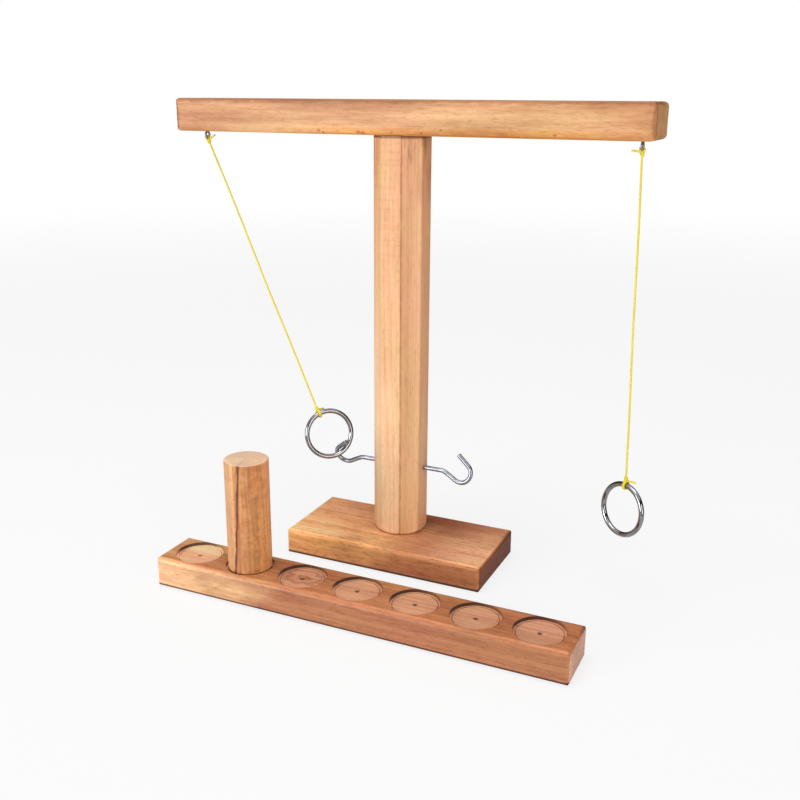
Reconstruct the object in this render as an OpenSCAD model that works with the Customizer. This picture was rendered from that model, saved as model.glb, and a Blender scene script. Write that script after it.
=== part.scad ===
// Tabletop ring toss game in solid beech: a post on a base carries a crossbeam, and from
// each end of the beam a ring hangs on a string, to be swung onto a hook on the post.
// A score rail with seven recesses and a standing peg lies in front.
// Origin: middle of the base's underside. X runs along the beam, Y away from the players.

/* [Base] */
// Width of the base block, left to right
base_w = 149; // [130:1:165]
// Depth of the base block, front to back
base_d = 69; // [62:1:80]
// Thickness of the base block
base_t = 19; // [16:0.5:24]
// Radius of the base's softened edges
base_round = 3; // [1.5:0.25:4]

/* [Post] */
// Width of the octagonal post across its flats
post_w = 35.5; // [33:0.5:40]
// Height of the post above the base
post_h = 276.5; // [265:0.5:300]
// Place of the post left or right of the base's middle
post_x = -2.5; // [-6:0.5:6]
// Place of the post behind the base's middle
post_y = 7; // [4:0.5:12]
// How far the post's eight corners are eased back
post_ease = 0.26; // [0.15:0.01:0.4]
// Height of the post's foot, where its corners are turned round
foot_h = 3; // [2:0.25:5]
// Small bevel at the bottom of the foot
foot_bevel = 0.6; // [0.3:0.1:1]

/* [Crossbeam] */
// Length of the crossbeam
beam_l = 332; // [310:1:345]
// Depth of the crossbeam, front to back
beam_d = 36; // [32:0.5:40]
// Height of the crossbeam
beam_t = 22; // [19:0.5:26]
// Radius of the four corners at the beam's ends, seen from the front
beam_corner = 3.5; // [2.5:0.5:6]
// Radius of the beam's other softened edges
beam_round = 1.5; // [1:0.25:2]

/* [Hidden fasteners] */
// Diameter of the two wood screws under the base
screw_d = 4; // [3:0.5:5]
// Diameter of the screw heads
screw_head = 8; // [7:0.5:9]
// Length of the screws
screw_l = 45; // [40:1:50]
// How far the screw heads are sunk into the base
screw_sunk = 0.5; // [0.25:0.25:1]
// Diameter of the two dowels between post and beam
dowel_d = 8; // [6:1:10]
// Length of the dowels
dowel_l = 30; // [26:1:36]
// How deep the dowels reach into the beam
dowel_in_beam = 12; // [10:0.5:15]
// Distance of each screw and dowel from the post's centre
fastener_x = 8; // [6:0.5:9]

/* [Hooks] */
// Diameter of the hook wire
hook_wire = 3.2; // [2.6:0.1:3.4]
// Height of the hooks above the table
hook_z = 67; // [60:1:80]
// Length of hook shank inside the post
hook_shank = 14; // [10:0.5:15]
// Straight part of a hook outside the post
hook_neck = 12.9; // [11:0.1:15]
// Radius of the bend where a hook turns down
hook_shoulder = 10; // [8:0.5:12]
// Slope of a hook's straight run down to its bowl
hook_slope = 30; // [20:1:35]
// Length of the sloping run
hook_run = 8.4; // [7:0.1:10]
// Centre-line radius of a hook's round bowl
hook_bowl = 7.1; // [6.6:0.1:8]
// Direction of a hook's tip, 90 is straight up, more leans back over the bowl
hook_tip_turn = 139; // [125:1:145]
// Length of a hook's straight tip
hook_tip = 10.5; // [8:0.5:11]
// Turn of the left hook about its own shank
left_hook_turn = 23; // [15:1:30]
// Turn of the right hook about its own shank
right_hook_turn = -13; // [-20:1:0]
// How much deeper the left hook is screwed in
left_hook_deeper = 2; // [0:0.5:2.5]

/* [Screw eyes] */
// Diameter of the screw eye wire
eye_wire = 1.5; // [1.2:0.1:1.8]
// Centre-line radius of the screw eye ring
eye_ring = 2.2; // [2:0.1:2.8]
// How far the middle of the eye ring hangs below the beam
eye_drop = 3.05; // [3:0.05:4]
// Length of the eye's threaded shank inside the beam
eye_shank = 9; // [7:0.5:12]
// Diameter of the eye's shank
eye_shank_d = 1.8; // [1.6:0.1:2.2]
// Distance of the left eye from the beam's left end
left_eye_inset = 13; // [9:0.5:16]
// Distance of the right eye from the beam's right end
right_eye_inset = 10.5; // [9:0.5:16]

/* [Rings] */
// Outer diameter of the metal rings
ring_d = 37; // [36:0.5:40]
// Wire diameter of the metal rings
ring_wire = 3.5; // [3:0.1:3.6]

/* [Strings] */
// Diameter of the string
string_d = 1.3; // [1:0.1:1.5]
// Distance from the eye wire to the ring wire along a taut string
string_drop = 212; // [200:1:215]
// Lean of the right string from plumb, as it swings outward
right_lean = 1.5; // [0:0.5:3]
// Length of the cut string ends at the knots
tail_l = 5.5; // [3:0.5:8]

/* [Score rail] */
// Length of the score rail
rail_l = 287; // [284:1:300]
// Depth of the score rail, front to back
rail_d = 37; // [36:0.5:42]
// Height of the score rail
rail_t = 21.5; // [18:0.5:26]
// Radius of the score rail's softened edges
rail_round = 3.5; // [1.5:0.25:4]
// Place of the rail's middle, left or right of the base's middle
rail_x = 15.6; // [0:0.2:30]
// Place of the rail's middle in front of the base's middle
rail_y = -98; // [-120:0.5:-75]
// Number of recesses in the rail
recess_count = 7; // [3:1:7]
// Distance from one recess to the next
recess_pitch = 40; // [37:0.5:40]
// Diameter of a recess
recess_d = 32; // [31:0.5:33]
// Depth of a recess
recess_deep = 2; // [1:0.25:4]
// Diameter of the pointed drill mark in the middle of a recess
mark_d = 3.2; // [2:0.2:4]
// Depth of the drill mark below the recess floor
mark_deep = 2.5; // [1:0.5:5]
// Distance from a recess's wall to the groove that the drill's rim leaves in the floor
groove_in = 1.2; // [0.8:0.1:1.6]
// Width of the groove
groove_w = 0.8; // [0.5:0.1:1.2]
// Depth of the groove
groove_deep = 0.6; // [0.3:0.1:1]

/* [Score peg] */
// Diameter of the score peg
peg_d = 29; // [26:0.5:29.5]
// Height of the score peg
peg_h = 77; // [60:1:85]
// Radius of the peg's softened rims
peg_round = 1.2; // [0.6:0.1:2]
// Recess that the peg stands in, counted from the left
peg_recess = 2; // [1:1:3]
// How far the peg stands to the right of its recess's middle
peg_shift = 0.4; // [0:0.1:0.9]

/* [Hidden] */

// Clearances, all measured on the radius
screw_fit = 0.05;
dowel_fit = 0.05;
hook_fit = 0.05;
eye_fit = 0.05;
loop_fit = 0.1;
sway_fit = 0.05;
bore_over = 0.5;
cut_over = 1;
pilot_over = 5;

// Heights
post_top = base_t + post_h;
beam_top = post_top + beam_t;

// Post: the radius to the octagon's corners, the one to its facets, and the foot's turned radius
post_corner = post_w / 2 / cos(22.5);
post_facet = post_w / 2;
foot_proud = 0.1;
post_foot = post_facet + foot_proud;
post_mid = [post_x, post_y, 0];

// Screws: the countersink is as deep as the head is wide over the shank
screw_cone = (screw_head - screw_d) / 2;
screw_slot = 0.9;
screw_slot_deep = 1.2;

// Hook wire: the bevel at its cut end, and how straight runs lap over the slightly thinner bends
tip_bevel = 0.4;
wire_lap = 0.05;
bend_thin = 0.01;

// Eyes: where the string's loop goes round the bottom of each eye ring
eye_z = post_top - eye_drop;
loop_z = eye_z - eye_ring;
left_eye_x = post_x - beam_l / 2 + left_eye_inset;
right_eye_x = post_x + beam_l / 2 - right_eye_inset;
left_eye = [left_eye_x, post_y, loop_z];
right_eye = [right_eye_x, post_y, loop_z];

// Rings: radius of the circle that the middle of the wire follows
ring_r = (ring_d - ring_wire) / 2;

// Left ring: its knot's place from the hook's root, and the turns of the ring about X, Y and Z
left_hook_root = [post_x - post_facet, post_y, hook_z];
left_hang = [-44.05, -8.52, 31.36];
left_ring_turn = [13, 23, -129];
left_knot = left_hook_root + left_hang;

// Right ring: it hangs free below its eye
right_ring_turn = [5.1, 0, 147.6];
right_knot = right_eye + string_drop * down(right_lean, 0);

// Lean and heading of the taut left string
left_pull = left_knot - left_eye;
left_drop = norm(left_pull);
left_lean = acos(-left_pull[2] / left_drop);
left_heading = atan2(left_pull[1], left_pull[0]);

// Knots: loops round the metal, then three wraps, all measured along the string
string_r = string_d / 2;
wrap_r = 0.8;
wrap_pitch = 1;
upper_loop = eye_wire / 2 + loop_fit + string_r;
upper_wrap = upper_loop + 0.1;
upper_end = upper_wrap + 2 * wrap_pitch + string_r;
string_top = upper_end + sway_fit + string_r;
lower_loop = ring_wire / 2 + loop_fit + string_r;
lower_loop_apart = 0.7;
lower_wrap = lower_loop + 0.85;
lower_end = lower_wrap + 2 * wrap_pitch + string_r;
tail_rise = 20;

// Heading in which each knot's cut end sticks out
left_upper_tail = 0;
right_upper_tail = 180;
left_lower_tail = 80;
right_lower_tail = 0;

// Route of a string in its own frame, down from the eye: sideways, forward, and down along it
string_route = [
  [0, 0, -15], [0.1, 0, -25], [0.2, 0.1, -35], [0.2, 0.1, -45], [0.1, 0.2, -55],
  [0.1, 0.2, -65], [0, 0.1, -75], [0, 0, -85], [-0.1, 0, -95], [-0.2, -0.1, -105],
  [-0.2, -0.1, -115], [-0.1, -0.2, -125], [-0.1, -0.1, -135], [0, -0.1, -145], [0.1, 0, -155],
  [0.1, 0, -165], [0.1, 0.1, -175], [0.1, 0, -185], [0, 0, -195]
];
string_sides = 8;
dome_steps = [60, 30];

// Direction of a string that leans from plumb by lean, toward heading
function down(lean, heading) = [
  sin(lean) * cos(heading),
  sin(lean) * sin(heading),
  -cos(lean)
];

// Whole route of a string of the given drop, with its two exact ends
function route(drop) = concat(
  [[0, 0, -string_top]],
  [for (p = string_route) [p[0], p[1], p[2] * drop / string_drop]],
  [[0, 0, -(drop - lower_end)]]
);

// Point on a smooth curve through p, at t from 0 to 1 on the way from point i to the next
function curve_point(p, i, t) =
  let (
    last = len(p) - 1,
    a = p[max(i - 1, 0)],
    b = p[i],
    c = p[min(i + 1, last)],
    d = p[min(i + 2, last)]
  )
  (2 * b + (c - a) * t + (2 * a - 5 * b + 4 * c - d) * t * t
    + (3 * b - a - 3 * c + d) * t * t * t) / 2;

// Two steps for each stretch of the route
function smooth(p) = concat(
  [for (i = [0 : len(p) - 2], t = [0, 0.5]) curve_point(p, i, t)],
  [p[len(p) - 1]]
);

// Direction of travel at point i; both ends run straight down
function travel(p, i) =
  (i == 0 || i == len(p) - 1)
    ? [0, 0, -1]
    : (p[i + 1] - p[i - 1]) / norm(p[i + 1] - p[i - 1]);

// Ring of points round centre c, square to direction t
function ring_points(c, t, r) =
  let (
    side = cross(t, [0, 1, 0]),
    u = side / norm(side),
    v = cross(t, u)
  )
  [for (k = [0 : string_sides - 1])
    let (a = 360 * k / string_sides)
    c + r * (cos(a) * u + sin(a) * v)];

// Flat shape with rounded corners, centred on the origin
module rounded_rect(w, d, r) {
  square([w - 2 * r, d], center = true);
  square([w, d - 2 * r], center = true);
  for (x = [-1, 1], y = [-1, 1])
    translate([x * (w / 2 - r), y * (d / 2 - r)])
      circle(r, $fn = 48);
}

// Block standing on z = 0, with edge radii for its plan, its front and its side view
module eased_block(w, d, h, plan_r, front_r, side_r) {
  translate([0, 0, h / 2])
    intersection() {
      linear_extrude(height = h + 2 * cut_over, center = true)
        rounded_rect(w, d, plan_r);
      rotate([90, 0, 0])
        linear_extrude(height = d + 2 * cut_over, center = true)
          rounded_rect(w, h, front_r);
      rotate([90, 0, 90])
        linear_extrude(height = w + 2 * cut_over, center = true)
          rounded_rect(d, h, side_r);
    }
}

// Straight length of wire from point p of the XY plane, in direction dir; it laps over the bends
module wire_run(p, dir, run, d) {
  translate([p[0], p[1], 0])
    rotate([0, 90, dir])
      translate([0, 0, -wire_lap])
        cylinder(h = run + 2 * wire_lap, d = d, $fn = 48);
}

// Bend of wire about centre c of the XY plane, turning on by sweep from angle start
module wire_bend(c, r, start, sweep, d) {
  translate([c[0], c[1], 0])
    rotate([0, 0, start])
      rotate_extrude(angle = sweep, $fn = 96)
        translate([r, 0])
          circle(d = d - bend_thin, $fn = 48);
}

// Straight end of wire with a bevelled tip
module wire_tip(p, dir, run, d) {
  translate([p[0], p[1], 0])
    rotate([0, 90, dir])
      rotate_extrude($fn = 48)
        polygon([
          [0, -wire_lap],
          [d / 2, -wire_lap],
          [d / 2, run - tip_bevel],
          [d / 2 - tip_bevel, run],
          [0, run]
        ]);
}

// Where the pair of screws and the pair of dowels stand
module at_fasteners() {
  for (side = [-1, 1])
    translate(post_mid + [side * fastener_x, 0, 0])
      children();
}

// Wood screw with a countersunk head, its head on z = 0, grown all round by fit
module screw_body(fit) {
  cylinder(h = screw_cone, r1 = screw_head / 2 + fit, r2 = screw_d / 2 + fit, $fn = 48);
  cylinder(h = screw_l + fit, r = screw_d / 2 + fit, $fn = 48);
}

// A hook in the XZ plane, its root on the facet, its bowl out along X
module hook() {
  slope_from = [
    hook_neck + hook_shoulder * sin(hook_slope),
    -hook_shoulder * (1 - cos(hook_slope))
  ];
  bowl_from = slope_from + hook_run * [cos(hook_slope), -sin(hook_slope)];
  bowl_mid = bowl_from + hook_bowl * [sin(hook_slope), cos(hook_slope)];
  tip_from = bowl_mid + hook_bowl * [sin(hook_tip_turn), -cos(hook_tip_turn)];
  rotate([90, 0, 0]) {
    wire_run([-hook_shank, 0], 0, hook_shank + hook_neck, hook_wire);
    wire_bend([hook_neck, -hook_shoulder], hook_shoulder, 90 - hook_slope, hook_slope, hook_wire);
    wire_run(slope_from, -hook_slope, hook_run, hook_wire);
    wire_bend(bowl_mid, hook_bowl, -90 - hook_slope, hook_slope + hook_tip_turn, hook_wire);
    wire_tip(tip_from, hook_tip_turn, hook_tip, hook_wire);
  }
}

// Puts a hook on the left or right facet of the post
module on_facet(side, turn, deeper) {
  translate([post_x + side * (post_facet - deeper), post_y, hook_z])
    rotate([turn, 0, 0])
      mirror([side < 0 ? 1 : 0, 0, 0])
        children();
}

// Pilot hole that a hook's shank is screwed into
module hook_pilot() {
  translate([-hook_shank - bore_over, 0, 0])
    rotate([0, 90, 0])
      cylinder(h = hook_shank + bore_over + pilot_over, r = hook_wire / 2 + hook_fit, $fn = 48);
}

// Screw eye below the beam at eye x
module screw_eye(x) {
  translate([x, post_y, eye_z]) {
    rotate([0, 90, 0])
      rotate_extrude($fn = 96)
        translate([eye_ring, 0])
          circle(d = eye_wire, $fn = 48);
    translate([0, 0, eye_ring])
      cylinder(h = eye_drop - eye_ring + eye_shank, d = eye_shank_d, $fn = 48);
  }
}

// Stack of three wraps of string, from the loops down to a flat end
module wraps(from, first, end) {
  mirror([0, 0, 1])
    rotate_extrude($fn = 64) {
      translate([0, from])
        square([wrap_r, end - from]);
      for (k = [0 : 2])
        translate([wrap_r, first + k * wrap_pitch])
          intersection() {
            circle(string_r, $fn = 32);
            translate([-wrap_r, -string_d])
              square([wrap_r + string_d, 2 * string_d]);
          }
    }
}

// Cut end of string that sticks out of a knot
module tail(down_by, heading) {
  translate([0, 0, -down_by])
    rotate([0, 90 - tail_rise, heading])
      cylinder(h = wrap_r + tail_l, r = string_r, $fn = 24);
}

// Knot at an eye: a loop round the eye wire and three wraps below it
module upper_knot(eye, lean, heading, tail_heading) {
  translate(eye)
    rotate([0, -lean, heading]) {
      rotate([90, 0, -heading])
        rotate_extrude($fn = 64)
          translate([upper_loop, 0])
            circle(string_r, $fn = 32);
      wraps(upper_loop - string_r / 2, upper_wrap, upper_end);
      tail(upper_wrap + wrap_pitch, tail_heading);
    }
}

// Knot at a ring: two loops round the ring wire and three wraps above them
module lower_knot(place, turn, lean, heading, tail_heading) {
  translate(place) {
    rotate(turn)
      for (side = [-1, 1])
        translate([side * lower_loop_apart, 0, 0])
          rotate([0, 90, 0])
            rotate_extrude($fn = 64)
              translate([lower_loop, 0])
                circle(string_r, $fn = 32);
    rotate([0, -lean, heading])
      mirror([0, 0, 1]) {
        wraps(lower_loop - string_r / 2, lower_wrap, lower_end);
        tail(lower_wrap + wrap_pitch, tail_heading);
      }
  }
}

// Taut string below an eye: rings of points joined by triangles, domed at the top
module string(eye, lean, heading, drop) {
  line = smooth(route(drop));
  count = len(line);
  top = line[0];
  dome = [
    for (a = dome_steps)
      each ring_points(top + [0, 0, string_r * sin(a)], [0, 0, -1], string_r * cos(a))
  ];
  tube = [for (i = [0 : count - 1]) each ring_points(line[i], travel(line, i), string_r)];
  rings = len(dome_steps) + count;
  tip = rings * string_sides;
  points = concat(dome, tube, [top + [0, 0, string_r]]);
  sides = [
    for (i = [0 : rings - 2], k = [0 : string_sides - 1])
      let (
        next = (k + 1) % string_sides,
        a = i * string_sides + k,
        b = i * string_sides + next,
        c = a + string_sides,
        d = b + string_sides
      )
      each [[a, c, b], [b, c, d]]
  ];
  cap = [for (k = [0 : string_sides - 1]) [tip, k, (k + 1) % string_sides]];
  foot = [
    for (k = [1 : string_sides - 2])
      let (a = (rings - 1) * string_sides)
      [a, a + k + 1, a + k]
  ];
  translate(eye)
    rotate([0, -lean, heading])
      polyhedron(points = points, faces = concat(sides, cap, foot));
}

// Metal ring hanging from its knot
module metal_ring(place, turn) {
  translate(place)
    rotate(turn)
      translate([0, 0, -ring_r])
        rotate([90, 0, 0])
          rotate_extrude($fn = 128)
            translate([ring_r, 0])
              circle(d = ring_wire, $fn = 48);
}

module base() {
  color("burlywood")
    difference() {
      eased_block(base_w, base_d, base_t, base_round, base_round, base_round);
      at_fasteners() {
        translate([0, 0, screw_sunk])
          screw_body(screw_fit);
        translate([0, 0, -cut_over])
          cylinder(h = screw_sunk + cut_over, r = screw_head / 2 + screw_fit, $fn = 48);
      }
    }
}

module post() {
  color("burlywood")
    difference() {
      translate([post_x, post_y, base_t])
        intersection() {
          rotate([0, 0, 22.5])
            cylinder(h = post_h, r = post_corner, $fn = 8);
          rotate_extrude($fn = 96)
            polygon([
              [0, 0],
              [post_foot - foot_bevel, 0],
              [post_foot, foot_bevel],
              [post_corner - post_ease, foot_h],
              [post_corner - post_ease, post_h + cut_over],
              [0, post_h + cut_over]
            ]);
        }
      at_fasteners() {
        translate([0, 0, screw_sunk])
          screw_body(screw_fit);
        translate([0, 0, post_top + dowel_in_beam - dowel_l - bore_over])
          cylinder(h = dowel_l + bore_over, r = dowel_d / 2 + dowel_fit, $fn = 48);
      }
      on_facet(-1, 0, left_hook_deeper)
        hook_pilot();
      on_facet(1, 0, 0)
        hook_pilot();
    }
}

module crossbeam() {
  color("burlywood")
    difference() {
      translate([post_x, post_y, post_top])
        eased_block(beam_l, beam_d, beam_t, beam_round, beam_corner, beam_round);
      at_fasteners()
        translate([0, 0, post_top - cut_over])
          cylinder(h = dowel_in_beam + bore_over + cut_over, r = dowel_d / 2 + dowel_fit, $fn = 48);
      for (x = [left_eye_x, right_eye_x])
        translate([x, post_y, post_top - cut_over])
          cylinder(h = eye_shank + bore_over + cut_over, r = eye_shank_d / 2 + eye_fit, $fn = 48);
    }
}

module base_screws() {
  color("silver")
    at_fasteners()
      translate([0, 0, screw_sunk])
        difference() {
          screw_body(0);
          for (a = [0, 90])
            rotate([0, 0, a])
              cube([screw_d, screw_slot, 2 * screw_slot_deep], center = true);
        }
}

module beam_dowels() {
  color("wheat")
    at_fasteners()
      translate([0, 0, post_top + dowel_in_beam - dowel_l])
        cylinder(h = dowel_l, d = dowel_d, $fn = 48);
}

module left_hook() {
  color("silver")
    on_facet(-1, left_hook_turn, left_hook_deeper)
      hook();
}

module right_hook() {
  color("silver")
    on_facet(1, right_hook_turn, 0)
      hook();
}

module left_screw_eye() {
  color("silver")
    screw_eye(left_eye_x);
}

module right_screw_eye() {
  color("silver")
    screw_eye(right_eye_x);
}

module left_string() {
  color("gold")
    string(left_eye, left_lean, left_heading, left_drop);
}

module right_string() {
  color("gold")
    string(right_eye, right_lean, 0, string_drop);
}

module left_upper_knot() {
  color("gold")
    upper_knot(left_eye, left_lean, left_heading, left_upper_tail);
}

module right_upper_knot() {
  color("gold")
    upper_knot(right_eye, right_lean, 0, right_upper_tail);
}

module left_lower_knot() {
  color("gold")
    lower_knot(left_knot, left_ring_turn, left_lean, left_heading, left_lower_tail);
}

module right_lower_knot() {
  color("gold")
    lower_knot(right_knot, right_ring_turn, right_lean, 0, right_lower_tail);
}

module left_ring() {
  color("gainsboro")
    metal_ring(left_knot, left_ring_turn);
}

module right_ring() {
  color("gainsboro")
    metal_ring(right_knot, right_ring_turn);
}

// Middle of a recess, counted from the left
function recess_x(k) = rail_x + (k - (recess_count + 1) / 2) * recess_pitch;

// What the drill takes out for one recess: its floor at z = 0, the rim's groove and the pointed mark
module recess_cut() {
  recess_r = recess_d / 2;
  groove_out = recess_r - groove_in;
  rotate_extrude($fn = 64)
    polygon([
      [0, -mark_deep],
      [mark_d / 2, 0],
      [groove_out - groove_w, 0],
      [groove_out - groove_w, -groove_deep],
      [groove_out, -groove_deep],
      [groove_out, 0],
      [recess_r, 0],
      [recess_r, recess_deep + cut_over],
      [0, recess_deep + cut_over]
    ]);
}

module score_rail() {
  color("burlywood")
    difference() {
      translate([rail_x, rail_y, 0])
        eased_block(rail_l, rail_d, rail_t, rail_round, rail_round, rail_round);
      for (k = [1 : recess_count])
        translate([recess_x(k), rail_y, rail_t - recess_deep])
          recess_cut();
    }
}

module score_peg() {
  color("burlywood")
    translate([recess_x(peg_recess) + peg_shift, rail_y, rail_t - recess_deep])
      rotate_extrude($fn = 96) {
        square([peg_d / 2 - peg_round, peg_h]);
        translate([0, peg_round])
          square([peg_d / 2, peg_h - 2 * peg_round]);
        for (z = [peg_round, peg_h - peg_round])
          translate([peg_d / 2 - peg_round, z])
            circle(peg_round, $fn = 32);
      }
}

base();
post();
crossbeam();
base_screws();
beam_dowels();
left_hook();
right_hook();
left_screw_eye();
right_screw_eye();
left_string();
right_string();
left_upper_knot();
right_upper_knot();
left_lower_knot();
right_lower_knot();
left_ring();
right_ring();
score_rail();
score_peg();
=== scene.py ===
# %% [markdown]
# # A ring toss game in beech, steel and string
# The game is a post on a base with a crossbeam on top, two hooks, two rings on strings, and a score rail with
# a peg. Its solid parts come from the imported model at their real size, so nothing here is scaled or moved.
# Left for Blender are the finish of each surface, and the strings, which are too fine for the solids.

# %% Load the game
import math

import bpy
from mathutils import Euler, Matrix, Vector


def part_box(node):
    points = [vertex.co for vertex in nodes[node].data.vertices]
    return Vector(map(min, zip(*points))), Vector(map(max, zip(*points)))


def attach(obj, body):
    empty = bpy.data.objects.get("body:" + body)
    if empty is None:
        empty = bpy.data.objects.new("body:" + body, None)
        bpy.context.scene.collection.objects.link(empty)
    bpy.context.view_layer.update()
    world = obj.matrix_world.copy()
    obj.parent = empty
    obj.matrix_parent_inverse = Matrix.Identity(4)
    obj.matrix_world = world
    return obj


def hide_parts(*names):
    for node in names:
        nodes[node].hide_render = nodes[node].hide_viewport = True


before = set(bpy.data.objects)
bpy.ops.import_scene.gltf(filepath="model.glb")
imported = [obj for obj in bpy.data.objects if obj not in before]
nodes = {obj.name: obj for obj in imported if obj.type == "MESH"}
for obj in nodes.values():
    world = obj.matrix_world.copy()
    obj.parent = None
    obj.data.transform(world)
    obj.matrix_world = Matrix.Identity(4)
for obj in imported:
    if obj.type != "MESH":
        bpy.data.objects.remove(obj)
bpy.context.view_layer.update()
MM = 0.001

# %% [markdown]
# ## Camera
# A camera can be placed by eye, but straight edges allow better: the beam, the rail and the base give
# vanishing lines, and from these the lens, height and turn of the camera were worked out.
# The order of the turns matters: first the small roll about the lens, then the tilt down, then the turn left.

# %% Place the camera
CAMERA_PLACE = Vector((274.1, -598.6, 320.7)) * MM
CAMERA_LENS = 44.48
CAMERA_SENSOR = 36
CAMERA_TURN = 24.62
CAMERA_TILT = 90 - 17.19
CAMERA_ROLL = 0.31


def turn(degrees, axis):
    """A turn about one axis."""
    return Matrix.Rotation(math.radians(degrees), 4, axis)


camera = bpy.data.objects.new("camera", bpy.data.cameras.new("camera"))
bpy.context.scene.collection.objects.link(camera)
camera.data.lens = CAMERA_LENS
camera.data.sensor_width = CAMERA_SENSOR
aim = turn(CAMERA_TURN, "Z") @ turn(CAMERA_TILT, "X") @ turn(CAMERA_ROLL, "Z")
camera.matrix_world = Matrix.Translation(CAMERA_PLACE) @ aim
bpy.context.scene.camera = camera
print("camera stands at", camera.matrix_world.translation)

# %% [markdown]
# ## A sweep for string
# String could be a curve with a round bevel, but then it looks like wire. Real string has plies that wind
# round each other, so its outline ripples. A mesh sweep gives that: rings of points follow the route, each
# with three shallow lobes, and each turned a little more than the one before. The rings are close together,
# at even steps, which the first helper measures out.

# %% Points at even steps
def resample(route, step):
    """Points at even steps along a route, and the route's length."""
    lengths = [0.0]
    for a, b in zip(route, route[1:]):
        lengths.append(lengths[-1] + (b - a).length)
    count = max(2, round(lengths[-1] / step) + 1)
    points = []
    segment = 0
    for i in range(count):
        at = lengths[-1] * i / (count - 1)
        while segment < len(route) - 2 and lengths[segment + 1] < at:
            segment += 1
        span = lengths[segment + 1] - lengths[segment]
        points.append(route[segment].lerp(route[segment + 1], (at - lengths[segment]) / span))
    return points, lengths[-1]


print("points on a straight of 33 steps:", len(resample([Vector(), Vector((0, 0, 33))], 1)[0]))

# %% [markdown]
# Each ring's frame is carried along from the last one, so that the sweep never flips over. Where a string
# hinges under its knot, its first end gets a dome. The dome's middle is the hinge, so it nearly fills the gap
# to the knot at every angle, and never cuts into it.

# %% Sweep a plied string along a route
PLIES = 3
PLY_DEPTH = 0.06
PLY_PITCH = 3.2 * MM
STRING_SIDES = 18
STRING_STEP = 0.3 * MM
DOME_SLOPES = (84, 66, 44, 22)


def string_rings(points, thickness, radius, length):
    """The points of all rings, with the plies winding along."""
    last = len(points) - 1
    side = (points[1] - points[0]).normalized().orthogonal().normalized()
    verts = []
    for i, point in enumerate(points):
        ahead = (points[min(i + 1, last)] - points[max(i - 1, 0)]).normalized()
        side = (side - ahead * side.dot(ahead)).normalized()
        up = ahead.cross(side)
        twist = 2 * math.pi * (i / last) * length / PLY_PITCH
        for k in range(STRING_SIDES):
            angle = 2 * math.pi * k / STRING_SIDES
            lobe = 0.5 + 0.5 * math.cos(PLIES * (angle - twist))
            r = radius * thickness[i] * (1 - PLY_DEPTH + PLY_DEPTH * lobe)
            verts.append(point + side * (r * math.cos(angle)) + up * (r * math.sin(angle)))
    return verts


def string_mesh(name, route, radius, step=STRING_STEP, dome=False):
    """A closed tube of twisted plies along the route. A dome rounds off its first end."""
    points, length = resample(route, step)
    thickness = [1.0] * len(points)
    if dome:
        travel = (points[1] - points[0]).normalized()
        slopes = [math.radians(a) for a in DOME_SLOPES]
        points = [points[0] - travel * (radius * math.sin(a)) for a in slopes] + points
        thickness = [math.cos(a) for a in slopes] + thickness
    end = (len(points) - 1) * STRING_SIDES
    faces = []
    for start in range(0, end, STRING_SIDES):
        for k in range(STRING_SIDES):
            a = start + k
            b = start + (k + 1) % STRING_SIDES
            faces.append((a, b, b + STRING_SIDES, a + STRING_SIDES))
    faces.append(tuple(reversed(range(STRING_SIDES))))
    faces.append(tuple(range(end, end + STRING_SIDES)))
    mesh = bpy.data.meshes.new(name)
    mesh.from_pydata(string_rings(points, thickness, radius, length), [], faces)
    mesh.shade_smooth()
    piece = bpy.data.objects.new(name, mesh)
    bpy.context.scene.collection.objects.link(piece)
    return piece, length


print("string of", PLIES, "plies, in rings of", STRING_SIDES, "points")

# %% [markdown]
# ## The two strings
# Each string runs from a knot at its screw eye to a knot at its ring. One hangs free, and the other is pulled
# taut to the ring on the left hook. Both follow one route, drawn once in the string's own frame: sideways,
# forward and down from the eye, in millimetres. A loaded string is nearly straight, so the bows are a fifth
# of a millimetre. The route is then leaned and turned to where the string goes.

# %% Draw the strings
STRING_R = 0.65 * MM
STRING_TOP = 4.95
STRING_END = 6.0
STRING_DROP = 212.0
STRING_ROUTE = [
    (0, 0, -15), (0.1, 0, -25), (0.2, 0.1, -35), (0.2, 0.1, -45), (0.1, 0.2, -55),
    (0.1, 0.2, -65), (0, 0.1, -75), (0, 0, -85), (-0.1, 0, -95), (-0.2, -0.1, -105),
    (-0.2, -0.1, -115), (-0.1, -0.2, -125), (-0.1, -0.1, -135), (0, -0.1, -145), (0.1, 0, -155),
    (0.1, 0, -165), (0.1, 0.1, -175), (0.1, 0, -185), (0, 0, -195),
]
LEFT_EYE = Vector((-155.5, 7, 290.25))
RIGHT_EYE = Vector((153, 7, 290.25))
LEFT_KNOT = Vector((-64.3, -1.52, 98.36))
RIGHT_LEAN = 1.5


def string_frame(eye, lean, heading):
    """The place of a string that leans from plumb toward a heading, both in degrees."""
    return Matrix.Translation(eye) @ turn(heading, "Z") @ turn(-lean, "Y")


def placed(frame_matrix, points):
    """Millimetre points of a string's own frame, as metres in the game's frame."""
    return [(frame_matrix @ Vector(p)) * MM for p in points]


left_pull = LEFT_KNOT - LEFT_EYE
left_lean = math.degrees(math.acos(-left_pull.z / left_pull.length))
left_heading = math.degrees(math.atan2(left_pull.y, left_pull.x))
LEFT_FRAME = string_frame(LEFT_EYE, left_lean, left_heading)
RIGHT_FRAME = string_frame(RIGHT_EYE, RIGHT_LEAN, 0)
full_route = [(0, 0, -STRING_TOP)] + STRING_ROUTE + [(0, 0, STRING_END - STRING_DROP)]

left_route = placed(LEFT_FRAME, full_route)
right_route = placed(RIGHT_FRAME, full_route)
left_line, left_length = string_mesh("left_line", left_route, STRING_R, dome=True)
right_line, right_length = string_mesh("right_line", right_route, STRING_R, dome=True)
print("string lengths:", left_length, right_length)

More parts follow.
